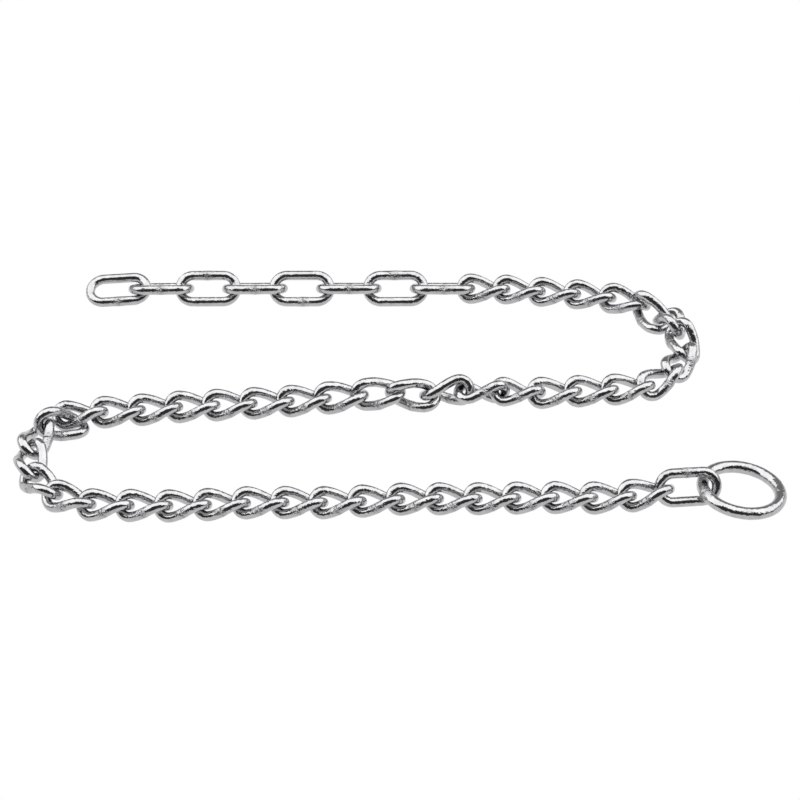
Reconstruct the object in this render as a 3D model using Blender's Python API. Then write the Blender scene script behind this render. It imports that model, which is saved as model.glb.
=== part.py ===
"""A welded steel chain laid out in a flat S, ring at one end and a straight-link tail at the other.

Every link is one bent wire, made as a closed curve with a round bevel. The links of a straight row are
spaced evenly between its first and its last. The links in the bends, and four in the middle row that lie
rolled over or low, are placed one by one. Then every two wires that stand too close push each other a
little further away, over and over, until no two touch and nothing is under the floor at Z = 0.
Lengths below are millimetres and angles are degrees. Blender's own units stay metres.
"""

import math

import bpy
import numpy as np

MM = 0.001

# Wire
WIRE_DIAMETER = 5.2
CROWN_DIAMETER = 5.0  # the wire thins where it bends round each end
RING_WIRE_DIAMETER = 6.3
RING_MEAN_RADIUS = 19.7

# Links: half the distance between the end bends, radius of the bends' centre line, and twist end to end
CURB_SHAPE = (6.15, 6.15, -85.0)
TAIL_SHAPE = (8.0, 7.45, 0.0)
CONNECTOR_SHAPE = (7.3, 7.3, 0.0)

# The ring leans on the connecting link: where its centre is, how far it leans and which side is up
RING_CENTRE = (170.7, -77.3)
RING_LEAN = 9.0
RING_LEAN_TOWARDS = 40.0
CONNECTOR_CENTRE = (144.0, -77.5)
CONNECTOR_HEADING = 181.0
CONNECTOR_ROLL = -60.0

# Straight rows of curb links: first number, centres of the first and the last, how far the links turn off
# the row, and how far each link lies behind the row's own line
CURB_ROWS = (
    (
        2,
        (103.3, -83.1),
        (-146.2, -89.0),
        -3.0,
        (-0.7, 0.4, 0.8, 0.5, 0.8, 1.3, 0.8, -0.7, -0.2, 0.4, 0.0, -1.4, -0.6, 0.3),
    ),
    (22, (-147.6, -17.5), (-12.4, -3.5), -3.0, (-1.2, 1.6, 1.4, 0.1, -0.9, -0.9, 0.1, 0.5)),
    (34, (83.2, -1.0), (121.0, 1.7), -3.0, (0.0, 0.0, 0.0)),
    (43, (102.7, 81.0), (45.7, 87.0), 3.0, (0.0, -0.3, 0.3, 0.0)),
)
CURB_ROW_ROLL = 4.0
# Curb links that lie otherwise, by number: centre x, y and z, then heading, pitch and roll
CURB_SINGLES = {
    1: (122.5, -81.0, 6.5, 178.0, -12.0, 0.0),
    16: (-165.5, -85.0, 5.5, 166.0, 0.0, 0.0),
    17: (-180.0, -72.5, 6.0, 140.0, 0.0, 0.0),
    18: (-187.0, -54.0, 6.0, 93.0, 2.0, 3.0),
    19: (-185.5, -39.5, 7.5, 79.0, -4.0, -4.0),
    20: (-175.0, -27.0, 7.5, 14.0, -8.0, 30.0),
    21: (-165.8, -21.2, 6.6, 13.0, 0.0, 0.0),
    30: (7.4, -4.8, 8.0, 3.0, 0.0, 50.0),
    31: (25.0, -4.6, 7.4, 3.0, 0.0, 105.0),
    32: (43.8, -4.2, 7.4, 3.0, 0.0, -10.0),
    33: (64.2, -4.6, 6.2, 1.0, 0.0, 4.0),
    37: (135.5, 9.0, 6.5, 32.0, 6.0, -5.0),
    38: (146.5, 24.5, 6.5, 64.0, -5.0, -7.0),
    39: (150.2, 38.4, 7.4, 104.0, 15.0, -3.0),
    40: (146.0, 53.2, 8.3, 98.0, -14.0, 16.0),
    41: (135.0, 63.4, 7.5, 127.0, 13.0, -42.0),
    42: (120.5, 75.5, 5.5, 163.0, 0.0, 0.0),
}

# Tail of straight links that lean to the front and to the back by turns
TAIL_ALONG = (23.5, -1.7, -27.7, -53.5, -79.6, -104.8, -130.0, -153.5)
TAIL_ACROSS = 86.0
TAIL_HEADING = 180.0
TAIL_ROLL_FRONT = 28.0
TAIL_ROLL_BACK = -32.0
TAIL_LIFT_FRONT = 0.8
TAIL_END_ACROSS = 86.5
TAIL_END_HEADING = 180.5
TAIL_END_ROLL = -14.0

# Pushing apart
CLEARANCE = 0.35
CLEAR_ENOUGH = 0.33
MAX_ROUNDS = 600
PUSH_SHARE = 0.3  # how much of a shortfall each of the two wires makes good in one round
FLOOR_SHARE = 0.8
TURN_INERTIA = 90.0  # square millimetres: how hard a link is to turn, next to moving it

# Points of a link, sparse where it is built and close where gaps are measured
BUILT_BEND_POINTS = 10
BUILT_BAR_POINTS = 1
BUILT_RING_POINTS = 28
MEASURED_BEND_POINTS = 16
MEASURED_BAR_POINTS = 9
MEASURED_RING_POINTS = 90
BEVEL_RESOLUTION = 2


def turn_matrix(heading, pitch):
    """Rotation of a link's own axes: nose up by the pitch, then round to the heading."""
    h = math.radians(heading)
    p = math.radians(pitch)
    about_up = np.array([[math.cos(h), -math.sin(h), 0], [math.sin(h), math.cos(h), 0], [0, 0, 1]])
    nose_up = np.array([[math.cos(p), 0, -math.sin(p)], [0, 1, 0], [math.sin(p), 0, math.cos(p)]])
    return about_up @ nose_up


def turn_about(axis, angle):
    """Rotation by an angle in radians about a unit axis."""
    cross = np.array([[0, -axis[2], axis[1]], [axis[2], 0, -axis[0]], [-axis[1], axis[0], 0]])
    return np.eye(3) + math.sin(angle) * cross + (1 - math.cos(angle)) * cross @ cross


def flat_oval(half_span, bend_radius, bend_points, bar_points):
    """Centre line of an untwisted link in its own plane: two half circles and two straight bars."""
    points = []
    for side in (1, -1):
        for step in range(bend_points):
            angle = math.pi * step / (bend_points - 1) - math.pi / 2
            along = half_span + bend_radius * math.cos(angle)
            points.append((side * along, side * bend_radius * math.sin(angle)))
        for step in range(1, bar_points + 1):
            along = half_span - 2 * half_span * step / (bar_points + 1)
            points.append((side * along, side * bend_radius))
    return points


def link_line(shape, roll, bend_points, bar_points):
    """Centre line of a link along X, twisted about X, and the wire's radius at each point."""
    half_span, bend_radius, twist = shape
    points = []
    radii = []
    for along, across in flat_oval(half_span, bend_radius, bend_points, bar_points):
        share = math.sin(math.pi / 2 * along / (half_span + bend_radius))
        angle = math.radians(roll + twist / 2 * share)
        points.append((along, across * math.cos(angle), across * math.sin(angle)))
        crown = max(0.0, (abs(along) - half_span) / bend_radius)
        radii.append((WIRE_DIAMETER + (CROWN_DIAMETER - WIRE_DIAMETER) * crown**2) / 2)
    return np.array(points), np.array(radii)


def ring_line(count):
    """Centre line of the ring about its own centre, leaning."""
    angles = np.arange(count) * 2 * math.pi / count
    flat = RING_MEAN_RADIUS * np.stack([np.cos(angles), np.sin(angles), 0 * angles], axis=1)
    towards = math.radians(RING_LEAN_TOWARDS)
    hinge = np.array([-math.sin(towards), math.cos(towards), 0.0])
    return flat @ turn_about(hinge, math.radians(RING_LEAN)).T, np.full(count, RING_WIRE_DIAMETER / 2)


class Wire:
    """One closed wire: its built points, its measured points and its centre."""

    def __init__(self, name, built, measured, turn, at, height=None, lift=0.0):
        self.name = name
        self.built = built[0] @ turn.T
        self.built_radii = built[1]
        self.measured = measured[0] @ turn.T
        self.measured_radii = measured[1]
        resting = lift - (self.measured[:, 2] - self.measured_radii).min()
        self.centre = np.array([at[0], at[1], resting if height is None else height])
        self.reach = np.linalg.norm(self.measured, axis=1).max() + self.measured_radii.max()

    def push(self, point, way, amount):
        """Move and turn the wire a little, as a push at the point does."""
        turning = np.cross(point - self.centre, way)
        moved = amount / (1 + turning @ turning / TURN_INERTIA)
        self.centre = self.centre + way * moved
        angle = np.linalg.norm(turning) * moved / TURN_INERTIA
        if angle > 0:
            turn = turn_about(turning / np.linalg.norm(turning), angle)
            self.built = self.built @ turn.T
            self.measured = self.measured @ turn.T

    def lift_to_floor(self):
        heights = self.measured[:, 2] + self.centre[2] - self.measured_radii
        lowest = heights.argmin()
        if heights[lowest] < 0:
            point = self.measured[lowest] + self.centre
            self.push(point, np.array([0.0, 0.0, 1.0]), -heights[lowest] * FLOOR_SHARE)


def lay_link(name, shape, at, heading, pitch=0.0, roll=0.0, height=None, lift=0.0):
    built = link_line(shape, roll, BUILT_BEND_POINTS, BUILT_BAR_POINTS)
    measured = link_line(shape, roll, MEASURED_BEND_POINTS, MEASURED_BAR_POINTS)
    return Wire(name, built, measured, turn_matrix(heading, pitch), at, height, lift)


def lay_curb():
    """The twisted links: rows by rule, the others from their own places."""
    laid = {}
    for first, start, end, yaw, offsets in CURB_ROWS:
        heading = math.degrees(math.atan2(end[1] - start[1], end[0] - start[0])) + yaw
        for step, offset in enumerate(offsets):
            number = first + step
            share = step / (len(offsets) - 1)
            at = (start[0] + (end[0] - start[0]) * share, start[1] + (end[1] - start[1]) * share + offset)
            laid[number] = lay_link(f"curb_link_{number:02d}", CURB_SHAPE, at, heading, roll=CURB_ROW_ROLL)
    for number, (x, y, z, heading, pitch, roll) in CURB_SINGLES.items():
        laid[number] = lay_link(f"curb_link_{number:02d}", CURB_SHAPE, (x, y), heading, pitch, roll, z)
    return [laid[number] for number in sorted(laid)]


def lay_tail():
    """The straight links, numbered from the curb links to the free end."""
    laid = []
    for number, along in enumerate(TAIL_ALONG, start=1):
        at_end = number == len(TAIL_ALONG)
        at = (along, TAIL_END_ACROSS if at_end else TAIL_ACROSS)
        heading = TAIL_END_HEADING if at_end else TAIL_HEADING
        to_front = number % 2 == 1
        roll = TAIL_ROLL_FRONT if to_front else TAIL_ROLL_BACK
        roll = TAIL_END_ROLL if at_end else roll
        lift = TAIL_LIFT_FRONT if to_front else 0.0
        laid.append(lay_link(f"tail_link_{number:02d}", TAIL_SHAPE, at, heading, roll=roll, lift=lift))
    return laid


def closest(first, second):
    """Smallest gap between two wires, and the centre-line point of each where it is."""
    a = first.measured + first.centre
    b = second.measured + second.centre
    apart = np.linalg.norm(a[:, None] - b[None], axis=2)
    gaps = apart - first.measured_radii[:, None] - second.measured_radii
    i, j = np.unravel_index(gaps.argmin(), gaps.shape)
    return gaps[i, j], a[i], b[j]


def push_apart(wires):
    """Push wires that are too close off each other and off the floor, until all stand clear."""
    near = []
    for i, first in enumerate(wires):
        for second in wires[i + 1 :]:
            if np.linalg.norm(first.centre - second.centre) < first.reach + second.reach:
                near.append((first, second))
    for _ in range(MAX_ROUNDS):
        smallest = CLEARANCE
        for first, second in near:
            gap, here, there = closest(first, second)
            smallest = min(smallest, gap)
            if gap < CLEARANCE:
                way = (here - there) / np.linalg.norm(here - there)
                first.push(here, way, (CLEARANCE - gap) * PUSH_SHARE)
                second.push(there, -way, (CLEARANCE - gap) * PUSH_SHARE)
        for wire in wires:
            wire.lift_to_floor()
        if smallest >= CLEAR_ENOUGH:
            break


def lay_chain():
    """Every wire of the chain, from the ring to the free end."""
    ring = Wire("ring", ring_line(BUILT_RING_POINTS), ring_line(MEASURED_RING_POINTS), np.eye(3), RING_CENTRE)
    connector = lay_link(
        "connecting_link", CONNECTOR_SHAPE, CONNECTOR_CENTRE, CONNECTOR_HEADING, roll=CONNECTOR_ROLL
    )
    wires = [ring, connector] + lay_curb() + lay_tail()
    push_apart(wires)
    return wires


def centre_chain(wires):
    """Move the chain so that the middle of its outer box stands over the origin."""
    low = np.min([(w.built - w.built_radii[:, None]).min(axis=0) + w.centre for w in wires], axis=0)
    high = np.max([(w.built + w.built_radii[:, None]).max(axis=0) + w.centre for w in wires], axis=0)
    middle = (low + high) / 2
    for wire in wires:
        wire.centre = wire.centre - [middle[0], middle[1], 0.0]


def steel(name):
    material = bpy.data.materials.new(name)
    material.use_nodes = True
    shader = material.node_tree.nodes["Principled BSDF"]
    shader.inputs["Base Color"].default_value = (0.8, 0.8, 0.8, 1)
    shader.inputs["Metallic"].default_value = 1
    shader.inputs["Roughness"].default_value = 0.2
    return material


def bend_wire(collection, wire):
    """One closed round wire along the built points."""
    curve = bpy.data.curves.new(wire.name, "CURVE")
    curve.dimensions = "3D"
    curve.bevel_depth = MM
    curve.bevel_resolution = BEVEL_RESOLUTION
    spline = curve.splines.new("POLY")
    spline.points.add(len(wire.built) - 1)
    for spot, place, radius in zip(spline.points, wire.built + wire.centre, wire.built_radii):
        spot.co = (place[0] * MM, place[1] * MM, place[2] * MM, 1)
        spot.radius = radius
    spline.use_cyclic_u = True
    made = bpy.data.objects.new(wire.name, curve)
    made.data.materials.append(steel(wire.name + "_steel"))
    collection.objects.link(made)


def main():
    for old in list(bpy.data.objects):
        bpy.data.objects.remove(old, do_unlink=True)
    collection = bpy.data.collections.new("laid_steel_chain")
    bpy.context.scene.collection.children.link(collection)

    wires = lay_chain()
    centre_chain(wires)
    for wire in wires:
        bend_wire(collection, wire)


main()
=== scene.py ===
"""Looks for the laid steel chain: every wire rebuilt smooth and round, with its welds and bright plating.

Each link and the ring is one bent wire. The wires are laid and pushed clear of each other by the same
rules as the solids, so every piece stands where its solid stands. Lengths are millimetres and angles are
degrees, up to the last step of each mesh, which turns it to metres.
"""

import logging
import math
from dataclasses import dataclass, field
from enum import Enum
from typing import Any, ClassVar, Iterable

import bmesh
import bpy
import numpy as np
from mathutils import Matrix, Vector

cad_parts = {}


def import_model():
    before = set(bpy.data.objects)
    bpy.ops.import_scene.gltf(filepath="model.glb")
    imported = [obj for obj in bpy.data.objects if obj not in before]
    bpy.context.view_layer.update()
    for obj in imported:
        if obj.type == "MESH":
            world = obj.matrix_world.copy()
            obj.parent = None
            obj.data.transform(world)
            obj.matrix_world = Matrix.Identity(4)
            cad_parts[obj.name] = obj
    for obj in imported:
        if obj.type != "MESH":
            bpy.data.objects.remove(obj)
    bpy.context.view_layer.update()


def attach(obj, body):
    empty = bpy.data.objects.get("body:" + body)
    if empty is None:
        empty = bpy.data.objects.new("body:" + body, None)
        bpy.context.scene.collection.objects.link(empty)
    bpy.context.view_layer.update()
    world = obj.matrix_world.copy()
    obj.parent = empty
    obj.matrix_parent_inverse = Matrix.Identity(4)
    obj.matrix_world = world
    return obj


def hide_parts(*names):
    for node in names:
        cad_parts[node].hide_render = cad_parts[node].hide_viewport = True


LOG = logging.getLogger("laid_chain")
MM = 0.001
WHITE = "FFFFFF"

# The sRGB curve: a straight toe, and a power above it
SRGB_TOE_END = 0.04045
SRGB_TOE_SLOPE = 12.92
SRGB_OFFSET = 0.055
SRGB_POWER = 2.4

# Sockets of the mix node by number, because its number and colour sockets share their names
MIX_FACTOR = 0
MIX_NUMBERS = (2, 3)
MIX_NUMBER_RESULT = 0
MIX_COLOURS = (6, 7)
MIX_COLOUR_RESULT = 2


def linear(hex_colour: str) -> tuple[float, float, float, float]:
    """Turn an sRGB hex colour to the linear values that Blender's sockets hold.

    Args:
        hex_colour: six hex digits.

    Returns:
        Red, green, blue and alpha.
    """
    values = []
    for start in (0, 2, 4):
        value = int(hex_colour[start : start + 2], 16) / 255
        if value <= SRGB_TOE_END:
            values.append(value / SRGB_TOE_SLOPE)
        else:
            values.append(((value + SRGB_OFFSET) / (1 + SRGB_OFFSET)) ** SRGB_POWER)
    return values[0], values[1], values[2], 1.0


def add_node(
    tree: bpy.types.NodeTree,
    kind: str,
    settings: dict[str, Any] | None = None,
    links: dict[Any, bpy.types.NodeSocket] | None = None,
    values: dict[Any, Any] | None = None,
) -> bpy.types.Node:
    """Add a node with its settings, its linked inputs and its plain input values.

    Args:
        tree: the node tree that takes the node.
        kind: the node's class name.
        settings: the node's own properties.
        links: output sockets by the name or number of the input that each one feeds.
        values: numbers or colours by the name or number of the input that holds each.

    Returns:
        The new node.
    """
    node = tree.nodes.new(kind)
    for name, value in (settings or {}).items():
        setattr(node, name, value)
    for key, value in (values or {}).items():
        node.inputs[key].default_value = value
    for key, socket in (links or {}).items():
        tree.links.new(socket, node.inputs[key])
    return node


def add_ramp(
    tree: bpy.types.NodeTree,
    value: bpy.types.NodeSocket,
    source: tuple[float, float],
    result: tuple[float, float],
    smooth: bool = False,
) -> bpy.types.NodeSocket:
    """Add a node that turns a value's range into another range, and holds it there at both ends.

    Args:
        tree: the node tree that takes the node.
        value: the value to turn.
        source: the value at the start of the ramp and at its end.
        result: what comes out at the start of the ramp and at its end.
        smooth: whether the ramp eases in and out.

    Returns:
        The socket with the result.
    """
    ramp = add_node(
        tree,
        "ShaderNodeMapRange",
        {"interpolation_type": "SMOOTHSTEP" if smooth else "LINEAR"},
        {"Value": value},
        {"From Min": source[0], "From Max": source[1], "To Min": result[0], "To Max": result[1]},
    )
    return ramp.outputs["Result"]


@dataclass(frozen=True)
class Lumps:
    """Smooth noise: the size of its lumps in millimetres, and how much finer detail lies on them."""

    size: float
    detail: float

    def noise(self, tree: bpy.types.NodeTree, place: bpy.types.NodeSocket) -> bpy.types.NodeSocket:
        """Add the noise to a node tree.

        Args:
            tree: the node tree that takes the noise.
            place: the place on the piece, in metres.

        Returns:
            The socket with the noise.
        """
        node = add_node(
            tree,
            "ShaderNodeTexNoise",
            None,
            {"Vector": place},
            {"Scale": 1 / (self.size * MM), "Detail": self.detail},
        )
        return node.outputs["Fac"]


@dataclass(frozen=True)
class BrightPlating:
    """Bright zinc plate on drawn steel wire: a near mirror with a ripple and fine lines along it.

    A mirror shows the studio and not itself, so the wire reads as white, black and grey bands, and the
    ripple is what makes their edges ragged. All heights are millimetres.
    """

    name: str = "bright_plated_steel"
    colour: str = "B9B9BA"
    dull_colour: str = "A9A9AB"
    roughness: float = 0.05
    dull_roughness: float = 0.2
    # Clouds of duller plate
    cloud: Lumps = Lumps(3.0, 3.0)
    cloud_range: tuple[float, float] = (0.35, 0.75)
    # Wide shallow dents
    dent: Lumps = Lumps(6.0, 1.0)
    dent_height: float = 0.4
    # A ripple, strong in some places and calm in others
    ripple: Lumps = Lumps(1.7, 2.0)
    ripple_height: float = 0.32
    calm: Lumps = Lumps(11.0, 1.0)
    calm_range: tuple[float, float] = (0.38, 0.62)
    calm_strength: tuple[float, float] = (0.3, 1.0)
    # Fine lines from the drawing of the wire: noise that is squeezed along it
    streak: Lumps = Lumps(0.45, 2.0)
    streak_squeeze: float = 0.04
    streak_height: float = 0.006
    # Grain round the weld, and a notch at the seam
    grain: Lumps = Lumps(1.3, 3.0)
    grain_height: float = 0.9
    weld_length: float = 5.5
    notch_depth: float = 0.3
    notch_width: float = 0.4

    def material(self) -> bpy.types.Material:
        """Build the node material.

        Returns:
            The material, which reads the object's own place and the wire's attributes.
        """
        material = bpy.data.materials.new(self.name)
        material.use_nodes = True
        tree = material.node_tree
        shader = tree.nodes["Principled BSDF"]
        shader.inputs["Metallic"].default_value = 1.0

        place = add_node(tree, "ShaderNodeTexCoord").outputs["Object"]
        from_seam = self._attribute(tree, "from_seam")
        weld = add_ramp(tree, from_seam, (0.0, self.weld_length * MM), (1.0, 0.0))
        notch = add_ramp(tree, from_seam, (0.0, self.notch_width * MM), (0.0, 1.0))
        tree.links.new(self._relief(tree, place, weld, notch), shader.inputs["Normal"])

        cloud = add_ramp(tree, self.cloud.noise(tree, place), self.cloud_range, (0.0, 1.0))
        dullness = add_node(
            tree, "ShaderNodeMath", {"operation": "MAXIMUM"}, {0: cloud, 1: weld}
        ).outputs[0]
        colour = add_node(
            tree,
            "ShaderNodeMix",
            {"data_type": "RGBA"},
            {MIX_FACTOR: dullness},
            {MIX_COLOURS[0]: linear(self.colour), MIX_COLOURS[1]: linear(self.dull_colour)},
        ).outputs[MIX_COLOUR_RESULT]
        tree.links.new(colour, shader.inputs["Base Color"])
        roughness = add_ramp(tree, dullness, (0.0, 1.0), (self.roughness, self.dull_roughness))
        tree.links.new(roughness, shader.inputs["Roughness"])
        return material

    def _relief(
        self,
        tree: bpy.types.NodeTree,
        place: bpy.types.NodeSocket,
        weld: bpy.types.NodeSocket,
        notch: bpy.types.NodeSocket,
    ) -> bpy.types.NodeSocket:
        """Normal of the plate with its dents, ripple, lines, grain and notch, one bump on the other."""
        rippled = add_ramp(tree, self.calm.noise(tree, place), self.calm_range, self.calm_strength)
        normal = None
        for height, depth, strength in (
            (self.dent.noise(tree, place), self.dent_height, None),
            (self.ripple.noise(tree, place), self.ripple_height, rippled),
            (self.streak.noise(tree, self._along_wire(tree)), self.streak_height, None),
            (self.grain.noise(tree, place), self.grain_height, weld),
            (notch, self.notch_depth, None),
        ):
            links = {"Height": height}
            if strength is not None:
                links["Strength"] = strength
            if normal is not None:
                links["Normal"] = normal
            bump = add_node(
                tree, "ShaderNodeBump", None, links, {"Strength": 1.0, "Distance": depth * MM}
            )
            normal = bump.outputs["Normal"]
        return normal

    def _along_wire(self, tree: bpy.types.NodeTree) -> bpy.types.NodeSocket:
        """A place on the wire as its length along, squeezed, and its two places across."""
        squeezed = add_node(
            tree,
            "ShaderNodeMath",
            {"operation": "MULTIPLY"},
            {0: self._attribute(tree, "along")},
            {1: self.streak_squeeze},
        ).outputs[0]
        return add_node(
            tree,
            "ShaderNodeCombineXYZ",
            None,
            {"X": squeezed, "Y": self._attribute(tree, "side"), "Z": self._attribute(tree, "up")},
        ).outputs["Vector"]

    def _attribute(self, tree: bpy.types.NodeTree, name: str) -> bpy.types.NodeSocket:
        """One of the numbers that the wire's mesh holds at each vertex."""
        return add_node(tree, "ShaderNodeAttribute", {"attribute_name": name}).outputs["Fac"]


@dataclass(frozen=True)
class LitTable:
    """A white light table: it glows evenly, so nothing throws a shadow on it."""

    name: str = "lit_white_table"
    colour: str = WHITE
    strength: float = 1.0

    def material(self) -> bpy.types.Material:
        """Build the glowing material.

        Returns:
            The material.
        """
        material = bpy.data.materials.new(self.name)
        material.use_nodes = True
        tree = material.node_tree
        tree.nodes.remove(tree.nodes["Principled BSDF"])
        glow = add_node(
            tree, "ShaderNodeEmission", None, None, {"Color": linear(self.colour), "Strength": self.strength}
        )
        tree.links.new(glow.outputs[0], tree.nodes["Material Output"].inputs["Surface"])
        return material


@dataclass(frozen=True)
class WireGauge:
    """Thickness of the wire, in millimetres."""

    link: float = 5.2
    crown: float = 5.0
    ring: float = 6.3


@dataclass(frozen=True)
class LinkShape:
    """Half the distance between the end bends, radius of the bends, and twist from end to end."""

    half_span: float
    bend_radius: float
    twist: float


class LinkKind(Enum):
    """The three links of the chain."""

    CURB = LinkShape(6.15, 6.15, -85.0)
    TAIL = LinkShape(8.0, 7.45, 0.0)
    CONNECTOR = LinkShape(7.3, 7.3, 0.0)


@dataclass
class CentreLine:
    """A closed run of points along a wire's middle, each with its radius and the way out of the link."""

    points: np.ndarray
    radii: np.ndarray
    outward: np.ndarray


def turn_about(axis: np.ndarray, angle: float) -> np.ndarray:
    """Work out a turn about an axis.

    Args:
        axis: the unit vector to turn about.
        angle: how far to turn, in radians.

    Returns:
        The rotation matrix.
    """
    cross = np.array([[0, -axis[2], axis[1]], [axis[2], 0, -axis[0]], [-axis[1], axis[0], 0]])
    return np.eye(3) + math.sin(angle) * cross + (1 - math.cos(angle)) * cross @ cross


def turn_matrix(heading: float, pitch: float) -> np.ndarray:
    """Work out how a link's own axes lie: nose up by the pitch, then round to the heading.

    Args:
        heading: which way the link's length points, in degrees from X.
        pitch: how far its nose is up, in degrees.

    Returns:
        The rotation matrix.
    """
    h = math.radians(heading)
    p = math.radians(pitch)
    about_up = np.array([[math.cos(h), -math.sin(h), 0], [math.sin(h), math.cos(h), 0], [0, 0, 1]])
    nose_up = np.array([[math.cos(p), 0, -math.sin(p)], [0, 1, 0], [math.sin(p), 0, math.cos(p)]])
    return about_up @ nose_up


def link_line(shape: LinkShape, roll: float, bend_points: int, bar_points: int) -> CentreLine:
    """Centre line of a link along X, bent from a flat oval and then twisted about X.

    Args:
        shape: the link's sizes and twist.
        roll: how far the whole link is rolled about X.
        bend_points: points in each half circle.
        bar_points: points inside each straight bar.

    Returns:
        The closed centre line about the link's own middle.
    """
    gauge = WireGauge()
    reach = shape.half_span + shape.bend_radius
    half_oval = []
    for step in range(bend_points):
        bend = math.pi * step / (bend_points - 1) - math.pi / 2
        half_oval.append((shape.half_span + shape.bend_radius * math.cos(bend), bend))
    for step in range(1, bar_points + 1):
        half_oval.append((shape.half_span - 2 * shape.half_span * step / (bar_points + 1), math.pi / 2))

    points = []
    radii = []
    outward = []
    for side in (1, -1):
        for along, bend in half_oval:
            across = side * shape.bend_radius * math.sin(bend)
            twist = shape.twist / 2 * math.sin(math.pi / 2 * side * along / reach)
            angle = math.radians(roll + twist)
            points.append((side * along, across * math.cos(angle), across * math.sin(angle)))
            out_across = side * math.sin(bend)
            outward.append(
                (side * math.cos(bend), out_across * math.cos(angle), out_across * math.sin(angle))
            )
            crown = max(0.0, (abs(along) - shape.half_span) / shape.bend_radius)
            radii.append((gauge.link + (gauge.crown - gauge.link) * crown**2) / 2)
    return CentreLine(np.array(points), np.array(radii), np.array(outward))


@dataclass
class LaidWire:
    """One closed wire of the chain while it is being laid.

    The measured line is what the pushing apart looks at. The turn and the middle are kept up with every
    push, so the smooth wire can be made afterwards in the same place.
    """

    name: str
    solid: CentreLine
    measured: CentreLine
    smooth: CentreLine
    turn: np.ndarray
    at: tuple[float, float]
    height: float | None = None
    lift: float = 0.0
    seam: float = 0.0
    middle: np.ndarray = field(init=False)
    reach: float = field(init=False)
    line: np.ndarray = field(init=False)

    turn_inertia: ClassVar[float] = 90.0  # square millimetres: how hard a turn is, next to a move
    floor_share: ClassVar[float] = 0.8  # of the depth under the floor, made good in one round

    def __post_init__(self) -> None:
        """Stand the wire on the floor, or at its given height."""
        self.line = self.measured.points @ self.turn.T
        resting = self.lift - (self.line[:, 2] - self.measured.radii).min()
        self.middle = np.array([self.at[0], self.at[1], resting if self.height is None else self.height])
        self.reach = np.linalg.norm(self.line, axis=1).max() + self.measured.radii.max()

    def push(self, point: np.ndarray, way: np.ndarray, amount: float) -> None:
        """Move and turn the wire a little, as a push at the point does.

        Args:
            point: where the push acts.
            way: unit direction of the push.
            amount: how far that point should move.
        """
        turning = np.cross(point - self.middle, way)
        moved = amount / (1 + turning @ turning / self.turn_inertia)
        self.middle = self.middle + way * moved
        angle = np.linalg.norm(turning) * moved / self.turn_inertia
        if angle > 0:
            turn = turn_about(turning / np.linalg.norm(turning), angle)
            self.turn = turn @ self.turn
            self.line = self.line @ turn.T

    def lift_to_floor(self) -> None:
        """Push the wire's lowest point up where it is under the floor."""
        heights = self.line[:, 2] + self.middle[2] - self.measured.radii
        lowest = heights.argmin()
        if heights[lowest] < 0:
            point = self.line[lowest] + self.middle
            self.push(point, np.array([0.0, 0.0, 1.0]), -heights[lowest] * self.floor_share)

    def corners(self) -> tuple[np.ndarray, np.ndarray]:
        """Find the lowest and the highest corner of the box round the wire's solid.

        Returns:
            The two corners.
        """
        points = self.solid.points @ self.turn.T
        radii = self.solid.radii[:, None]
        return (points - radii).min(axis=0) + self.middle, (points + radii).max(axis=0) + self.middle


def closest(first: LaidWire, second: LaidWire) -> tuple[float, np.ndarray, np.ndarray]:
    """Find where two wires are closest.

    Args:
        first: the one wire.
        second: the other wire.

    Returns:
        The gap there, and the point on the centre line of each.
    """
    a = first.line + first.middle
    b = second.line + second.middle
    apart = np.linalg.norm(a[:, None] - b[None], axis=2)
    gaps = apart - first.measured.radii[:, None] - second.measured.radii
    i, j = np.unravel_index(gaps.argmin(), gaps.shape)
    return gaps[i, j], a[i], b[j]


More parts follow.
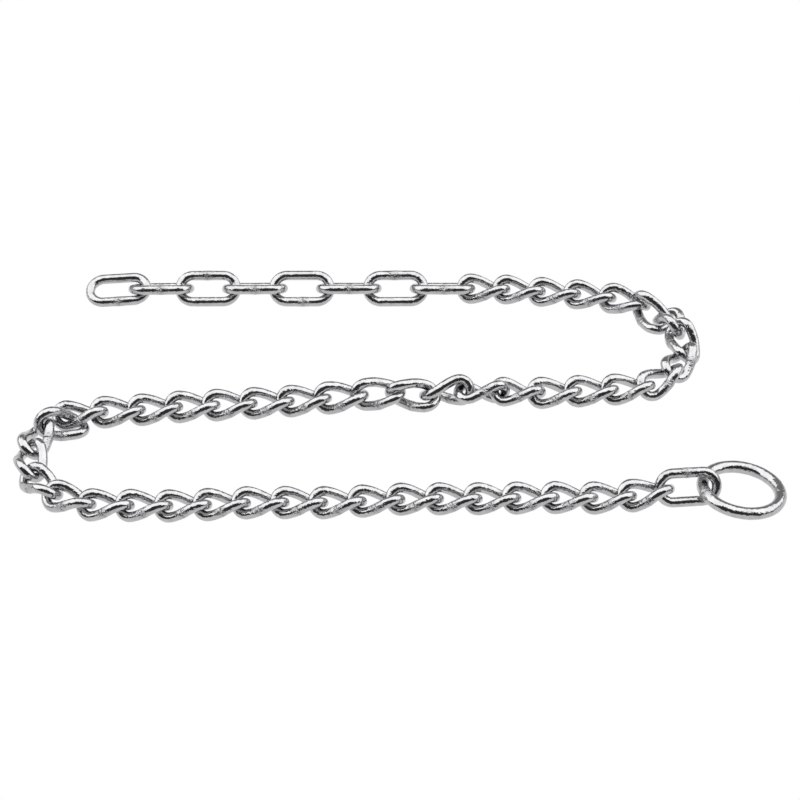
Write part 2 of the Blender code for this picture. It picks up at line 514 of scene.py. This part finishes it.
@dataclass
class WireSweep:
    """Draws a round section along a closed centre line, with a weld bead where the ends meet."""

    sides: int = 24
    bead_height: float = 0.12
    bead_length: float = 1.6

    def mesh(self, wire: LaidWire) -> bpy.types.Mesh:
        """Make the smooth wire's mesh, in metres, where the wire lies.

        Args:
            wire: the laid wire.

        Returns:
            A closed mesh with the attributes along, side, up and from_seam.
        """
        bm = bmesh.new()
        self._sweep(bm, self._seam_first(wire))
        bmesh.ops.recalc_face_normals(bm, faces=bm.faces)
        place = Matrix(wire.turn.tolist()).to_4x4()
        place.translation = Vector(wire.middle)
        bmesh.ops.transform(bm, matrix=Matrix.Scale(MM, 4) @ place, verts=bm.verts)
        mesh = bpy.data.meshes.new(wire.name + "_wire")
        bm.to_mesh(mesh)
        bm.free()
        mesh.shade_smooth()
        return mesh

    def _seam_first(self, wire: LaidWire) -> CentreLine:
        """The wire's smooth centre line, counted from its seam."""
        start = int(round(wire.seam * len(wire.smooth.points)))
        return CentreLine(
            np.roll(wire.smooth.points, -start, axis=0),
            np.roll(wire.smooth.radii, -start),
            np.roll(wire.smooth.outward, -start, axis=0),
        )

    def _sweep(self, bm: bmesh.types.BMesh, line: CentreLine) -> None:
        """Draw the section from step to step round the line, and keep the attributes at each vertex."""
        steps = np.linalg.norm(np.roll(line.points, -1, axis=0) - line.points, axis=1)
        along = np.concatenate([[0.0], np.cumsum(steps)])
        layers = {name: bm.verts.layers.float.new(name) for name in ("along", "side", "up", "from_seam")}
        bmesh.ops.create_circle(bm, cap_ends=False, radius=1.0, segments=self.sides)
        section = list(bm.verts)
        for vert in section:
            vert[layers["side"]] = vert.co.x * line.radii.max() * MM
            vert[layers["up"]] = vert.co.y * line.radii.max() * MM
        first_loop = list(bm.edges)
        loop = first_loop
        before = Matrix.Identity(4)
        for step, radius in enumerate(line.radii):
            from_seam = min(along[step], along[-1] - along[step])
            bead = self.bead_height * math.exp(-((from_seam / self.bead_length) ** 2))
            stand = self._stand(line, step, radius + bead)
            if step:
                section, loop = self._extrude(bm, loop)
            bmesh.ops.transform(bm, matrix=stand @ before.inverted(), verts=section)
            before = stand
            for vert in section:
                vert[layers["along"]] = along[step] * MM
                vert[layers["from_seam"]] = from_seam * MM
        bmesh.ops.bridge_loops(bm, edges=loop + first_loop)

    def _extrude(
        self, bm: bmesh.types.BMesh, loop: list[bmesh.types.BMEdge]
    ) -> tuple[list[bmesh.types.BMVert], list[bmesh.types.BMEdge]]:
        """Draw a loop of edges out to a new one on the same spot, and find its vertices and edges."""
        made = bmesh.ops.extrude_edge_only(bm, edges=loop)["geom"]
        section = [item for item in made if isinstance(item, bmesh.types.BMVert)]
        edges = [item for item in made if isinstance(item, bmesh.types.BMEdge)]
        return section, [edge for edge in edges if all(vert in section for vert in edge.verts)]

    def _stand(self, line: CentreLine, step: int, radius: float) -> Matrix:
        """Place of the unit section at one step: square to the wire, scaled to its radius."""
        ahead = Vector(line.points[(step + 1) % len(line.points)] - line.points[step - 1]).normalized()
        out = Vector(line.outward[step])
        out = (out - ahead * out.dot(ahead)).normalized()
        beside = ahead.cross(out)
        stand = Matrix((out * radius, beside * radius, ahead)).transposed().to_4x4()
        stand.translation = Vector(line.points[step])
        return stand


@dataclass(frozen=True)
class PointCounts:
    """How many points a wire has where it is solid, where gaps are measured and where it is smooth."""

    solid_bend: int = 10
    solid_bar: int = 1
    solid_ring: int = 28
    measured_bend: int = 16
    measured_bar: int = 9
    measured_ring: int = 90
    smooth_bend: int = 36
    smooth_bar: int = 14
    smooth_ring: int = 180


def lay_link(
    name: str,
    kind: LinkKind,
    at: tuple[float, float],
    heading: float,
    pitch: float = 0.0,
    roll: float = 0.0,
    height: float | None = None,
    lift: float = 0.0,
    seam: float = 0.0,
) -> LaidWire:
    """Lay one link.

    Args:
        name: the node that the link stands for.
        kind: which of the chain's links it is.
        at: where its middle is, seen from above.
        heading: which way its length points.
        pitch: how far its nose is up.
        roll: how far it is rolled about its length.
        height: height of its middle, or None where it rests by itself.
        lift: how far off the floor it starts, where it rests by itself.
        seam: share of the way round the wire at which it is welded.

    Returns:
        The laid link.
    """
    count = PointCounts()
    return LaidWire(
        name,
        link_line(kind.value, roll, count.solid_bend, count.solid_bar),
        link_line(kind.value, roll, count.measured_bend, count.measured_bar),
        link_line(kind.value, roll, count.smooth_bend, count.smooth_bar),
        turn_matrix(heading, pitch),
        at,
        height,
        lift,
        seam,
    )


@dataclass
class EndRing:
    """The large welded ring, which leans on the connecting link."""

    mean_radius: float = 19.7
    centre: tuple[float, float] = (170.7, -77.3)
    lean: float = 9.0
    lean_towards: float = 40.0
    seam: float = 0.56

    def _line(self, count: int) -> CentreLine:
        """Centre line of the ring about its own centre, leaning."""
        angles = np.arange(count) * 2 * math.pi / count
        flat = np.stack([np.cos(angles), np.sin(angles), 0 * angles], axis=1)
        towards = math.radians(self.lean_towards)
        hinge = np.array([-math.sin(towards), math.cos(towards), 0.0])
        outward = flat @ turn_about(hinge, math.radians(self.lean)).T
        return CentreLine(self.mean_radius * outward, np.full(count, WireGauge().ring / 2), outward)

    def lay(self) -> list[LaidWire]:
        """Lay the ring.

        Returns:
            The one wire of the ring.
        """
        count = PointCounts()
        lines = [self._line(points) for points in (count.solid_ring, count.measured_ring, count.smooth_ring)]
        return [LaidWire("ring", *lines, np.eye(3), self.centre, seam=self.seam)]


@dataclass
class ConnectingLink:
    """The straight oval link that the ring hangs in."""

    centre: tuple[float, float] = (144.0, -77.5)
    heading: float = 181.0
    roll: float = -60.0
    seam: float = 0.93

    def lay(self) -> list[LaidWire]:
        """Lay the link.

        Returns:
            The one wire of the link.
        """
        return [
            lay_link(
                "connecting_link",
                LinkKind.CONNECTOR,
                self.centre,
                self.heading,
                roll=self.roll,
                seam=self.seam,
            )
        ]


@dataclass(frozen=True)
class CurbRow:
    """A straight run of twisted links: where it starts and ends, and how far each link is off its line."""

    first: int
    start: tuple[float, float]
    end: tuple[float, float]
    yaw: float
    offsets: tuple[float, ...]


@dataclass
class CurbChain:
    """The twisted links: rows by rule, the links of the bends from their own places."""

    rows: tuple[CurbRow, ...] = (
        CurbRow(
            2,
            (103.3, -83.1),
            (-146.2, -89.0),
            -3.0,
            (-0.7, 0.4, 0.8, 0.5, 0.8, 1.3, 0.8, -0.7, -0.2, 0.4, 0.0, -1.4, -0.6, 0.3),
        ),
        CurbRow(22, (-147.6, -17.5), (-12.4, -3.5), -3.0, (-1.2, 1.6, 1.4, 0.1, -0.9, -0.9, 0.1, 0.5)),
        CurbRow(34, (83.2, -1.0), (121.0, 1.7), -3.0, (0.0, 0.0, 0.0)),
        CurbRow(43, (102.7, 81.0), (45.7, 87.0), 3.0, (0.0, -0.3, 0.3, 0.0)),
    )
    row_roll: float = 4.0
    # By number: centre x, y and z, then heading, pitch and roll
    singles: dict[int, tuple[float, ...]] = field(
        default_factory=lambda: {
            1: (122.5, -81.0, 6.5, 178.0, -12.0, 0.0),
            16: (-165.5, -85.0, 5.5, 166.0, 0.0, 0.0),
            17: (-180.0, -72.5, 6.0, 140.0, 0.0, 0.0),
            18: (-187.0, -54.0, 6.0, 93.0, 2.0, 3.0),
            19: (-185.5, -39.5, 7.5, 79.0, -4.0, -4.0),
            20: (-175.0, -27.0, 7.5, 14.0, -8.0, 30.0),
            21: (-165.8, -21.2, 6.6, 13.0, 0.0, 0.0),
            30: (7.4, -4.8, 8.0, 3.0, 0.0, 50.0),
            31: (25.0, -4.6, 7.4, 3.0, 0.0, 105.0),
            32: (43.8, -4.2, 7.4, 3.0, 0.0, -10.0),
            33: (64.2, -4.6, 6.2, 1.0, 0.0, 4.0),
            37: (135.5, 9.0, 6.5, 32.0, 6.0, -5.0),
            38: (146.5, 24.5, 6.5, 64.0, -5.0, -7.0),
            39: (150.2, 38.4, 7.4, 104.0, 15.0, -3.0),
            40: (146.0, 53.2, 8.3, 98.0, -14.0, 16.0),
            41: (135.0, 63.4, 7.5, 127.0, 13.0, -42.0),
            42: (120.5, 75.5, 5.5, 163.0, 0.0, 0.0),
        }
    )
    # The weld is in the bar that lies to the front: the one bar or the other, as the link's length points
    seam_to_left: float = 0.43
    seam_to_right: float = 0.93

    def _link(self, number: int, at: tuple[float, float], *laying: float) -> LaidWire:
        """Lay one twisted link with its weld to the front."""
        to_left = math.cos(math.radians(laying[0])) < 0
        seam = self.seam_to_left if to_left else self.seam_to_right
        return lay_link(f"curb_link_{number:02d}", LinkKind.CURB, at, *laying, seam=seam)

    def lay(self) -> list[LaidWire]:
        """Lay the twisted links.

        Returns:
            Their wires, in the order of their numbers.
        """
        laid = {}
        for row in self.rows:
            run = (row.end[0] - row.start[0], row.end[1] - row.start[1])
            heading = math.degrees(math.atan2(run[1], run[0])) + row.yaw
            for step, offset in enumerate(row.offsets):
                number = row.first + step
                share = step / (len(row.offsets) - 1)
                at = (row.start[0] + run[0] * share, row.start[1] + run[1] * share + offset)
                laid[number] = self._link(number, at, heading, 0.0, self.row_roll)
        for number, (x, y, z, heading, pitch, roll) in self.singles.items():
            laid[number] = self._link(number, (x, y), heading, pitch, roll, z)
        return [laid[number] for number in sorted(laid)]


@dataclass
class StraightTail:
    """The straight links at the free end, which lean to the front and to the back by turns."""

    along: tuple[float, ...] = (23.5, -1.7, -27.7, -53.5, -79.6, -104.8, -130.0, -153.5)
    across: float = 86.0
    heading: float = 180.0
    roll_front: float = 28.0
    roll_back: float = -32.0
    lift_front: float = 0.8
    end_across: float = 86.5
    end_heading: float = 180.5
    end_roll: float = -14.0
    seams: tuple[float, ...] = (0.43, 0.93, 0.43, 0.43, 0.43, 0.93, 0.43, 0.43)

    def lay(self) -> list[LaidWire]:
        """Lay the straight links.

        Returns:
            Their wires, from the twisted links to the free end.
        """
        laid = []
        for number, along in enumerate(self.along, start=1):
            at_end = number == len(self.along)
            to_front = number % 2 == 1
            roll = self.roll_front if to_front else self.roll_back
            laid.append(
                lay_link(
                    f"tail_link_{number:02d}",
                    LinkKind.TAIL,
                    (along, self.end_across if at_end else self.across),
                    self.end_heading if at_end else self.heading,
                    roll=self.end_roll if at_end else roll,
                    lift=self.lift_front if to_front else 0.0,
                    seam=self.seams[number - 1],
                )
            )
        return laid


@dataclass
class LaidChain:
    """The whole chain: lays every wire, pushes them clear of each other and makes the pieces."""

    clearance: float = 0.35
    clear_enough: float = 0.33
    max_rounds: int = 600
    push_share: float = 0.3
    wires: list[LaidWire] = field(default_factory=list)
    centring: np.ndarray = field(default_factory=lambda: np.zeros(3))

    def lay(self, parts: Iterable[EndRing | ConnectingLink | CurbChain | StraightTail]) -> None:
        """Lay the parts in order, push their wires apart and centre them over the origin.

        Args:
            parts: the sub-assemblies from the ring to the free end.
        """
        for part in parts:
            self.wires.extend(part.lay())
        self._push_apart()
        corners = [wire.corners() for wire in self.wires]
        low = np.min([corner[0] for corner in corners], axis=0)
        high = np.max([corner[1] for corner in corners], axis=0)
        middle = (low + high) / 2
        self.centring = np.array([-middle[0], -middle[1], 0.0])
        for wire in self.wires:
            wire.middle = wire.middle + self.centring

    def _push_apart(self) -> None:
        """Push wires that are too close off each other and off the floor, until all stand clear."""
        near = []
        for i, first in enumerate(self.wires):
            for second in self.wires[i + 1 :]:
                if np.linalg.norm(first.middle - second.middle) < first.reach + second.reach:
                    near.append((first, second))
        for _ in range(self.max_rounds):
            smallest = self.clearance
            for first, second in near:
                gap, here, there = closest(first, second)
                smallest = min(smallest, gap)
                if gap < self.clearance:
                    way = (here - there) / np.linalg.norm(here - there)
                    first.push(here, way, (self.clearance - gap) * self.push_share)
                    second.push(there, -way, (self.clearance - gap) * self.push_share)
            for wire in self.wires:
                wire.lift_to_floor()
            if smallest >= self.clear_enough:
                break

    def build(self, sweep: WireSweep, plating: bpy.types.Material) -> None:
        """Make a piece for every wire, in the place of its solid.

        Args:
            sweep: draws the wire.
            plating: the wire's material.
        """
        for wire in self.wires:
            mesh = sweep.mesh(wire)
            mesh.materials.append(plating)
            piece = bpy.data.objects.new(wire.name + "_wire", mesh)
            bpy.context.scene.collection.objects.link(piece)
            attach(piece, "root")
            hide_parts(wire.name)
            LOG.info("%s: %d faces", piece.name, len(mesh.polygons))


@dataclass
class Studio:
    """White light table, a tent of white light over it, the dim room round the tent, and the camera.

    The light and the room are told apart by the way in which a ray leaves the chain, as a unit vector:
    its height says how far up it points, and its depth how far its level part points to the back.
    """

    table_size: float = 6000.0
    tent_strength: float = 2.0
    # The room's strength in front and behind, and the depths between which it changes
    front_strength: float = 0.05
    back_strength: float = 0.3
    room_depths: tuple[float, float] = (-0.4, 0.4)
    # Height of the tent's hem at the sides, behind and in front, and the depths between which it rises
    side_hem: float = 0.22
    back_hem: float = 0.73
    front_hem: float = 0.91
    back_depths: tuple[float, float] = (0.75, 0.9)
    front_depths: tuple[float, float] = (-0.2, -0.65)
    hem_softness: float = 0.05
    camera_elevation: float = 40.0
    camera_distance: float = 1476.0
    lens: float = 127.26
    sensor: float = 36.0

    def build(self, centring: np.ndarray) -> None:
        """Make the table, the light and the camera.

        Args:
            centring: how far the chain was moved to stand over the origin.
        """
        self._lay_table()
        self._hang_light()
        self._stand_camera(centring)

    def _lay_table(self) -> None:
        """The lit white table that the chain lies on."""
        bm = bmesh.new()
        bmesh.ops.create_grid(bm, x_segments=1, y_segments=1, size=self.table_size / 2 * MM)
        mesh = bpy.data.meshes.new("table")
        bm.to_mesh(mesh)
        bm.free()
        mesh.materials.append(LitTable().material())
        table = bpy.data.objects.new("table", mesh)
        bpy.context.scene.collection.objects.link(table)

    def _hang_light(self) -> None:
        """Light the chain with the tent and the room, and show the camera plain white behind it."""
        world = bpy.data.worlds.new("studio")
        bpy.context.scene.world = world
        world.use_nodes = True
        tree = world.node_tree
        light = tree.nodes["Background"]
        light.inputs["Color"].default_value = linear(WHITE)
        tree.links.new(self._tent(tree), light.inputs["Strength"])
        backdrop = add_node(
            tree, "ShaderNodeBackground", None, None, {"Color": linear(WHITE), "Strength": 1.0}
        )
        seen = add_node(tree, "ShaderNodeLightPath").outputs["Is Camera Ray"]
        both = add_node(
            tree, "ShaderNodeMixShader", None, {0: seen, 1: light.outputs[0], 2: backdrop.outputs[0]}
        )
        tree.links.new(both.outputs[0], tree.nodes["World Output"].inputs["Surface"])

    def _tent(self, tree: bpy.types.NodeTree) -> bpy.types.NodeSocket:
        """Strength of the light from each way: the tent's above its hem, and the room's below."""
        way = add_node(tree, "ShaderNodeTexCoord").outputs["Generated"]
        parts = add_node(tree, "ShaderNodeSeparateXYZ", None, {"Vector": way}).outputs
        flat = add_node(tree, "ShaderNodeCombineXYZ", None, {"X": parts["X"], "Y": parts["Y"]}).outputs[0]
        level = add_node(tree, "ShaderNodeVectorMath", {"operation": "NORMALIZE"}, {0: flat}).outputs[0]
        depth = add_node(tree, "ShaderNodeSeparateXYZ", None, {"Vector": level}).outputs["Y"]
        behind = add_ramp(
            tree, depth, self.back_depths, (0.0, self.back_hem - self.side_hem), smooth=True
        )
        in_front = add_ramp(
            tree, depth, self.front_depths, (0.0, self.front_hem - self.side_hem), smooth=True
        )
        rise = add_node(tree, "ShaderNodeMath", {"operation": "ADD"}, {0: behind, 1: in_front}).outputs[0]
        height = add_node(
            tree, "ShaderNodeMath", {"operation": "SUBTRACT"}, {0: parts["Z"], 1: rise}
        ).outputs[0]
        hem = (self.side_hem - self.hem_softness, self.side_hem + self.hem_softness)
        inside = add_ramp(tree, height, hem, (0.0, 1.0), smooth=True)
        room = add_ramp(
            tree, depth, self.room_depths, (self.front_strength, self.back_strength), smooth=True
        )
        return add_node(
            tree,
            "ShaderNodeMix",
            {"data_type": "FLOAT"},
            {MIX_FACTOR: inside, MIX_NUMBERS[0]: room},
            {MIX_NUMBERS[1]: self.tent_strength},
        ).outputs[MIX_NUMBER_RESULT]

    def _stand_camera(self, centring: np.ndarray) -> None:
        """The camera, looking down at the middle of the rows as they were laid."""
        lens = bpy.data.cameras.new("camera")
        lens.lens = self.lens
        lens.sensor_width = self.sensor
        camera = bpy.data.objects.new("camera", lens)
        bpy.context.scene.collection.objects.link(camera)
        bpy.context.scene.camera = camera
        tilt = math.radians(self.camera_elevation)
        back = Vector((0.0, -math.cos(tilt), math.sin(tilt)))
        camera.location = (Vector(centring) + back * self.camera_distance) * MM
        camera.rotation_euler = (math.pi / 2 - tilt, 0.0, 0.0)
        bpy.context.scene.view_settings.view_transform = "Standard"


def main() -> None:
    """Load the frame, lay and dress the chain, and light it."""
    logging.basicConfig(level=logging.INFO, format="%(message)s")
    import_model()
    chain = LaidChain()
    chain.lay([EndRing(), ConnectingLink(), CurbChain(), StraightTail()])
    chain.build(WireSweep(), BrightPlating().material())
    Studio().build(chain.centring)


if __name__ == "__main__":
    main()
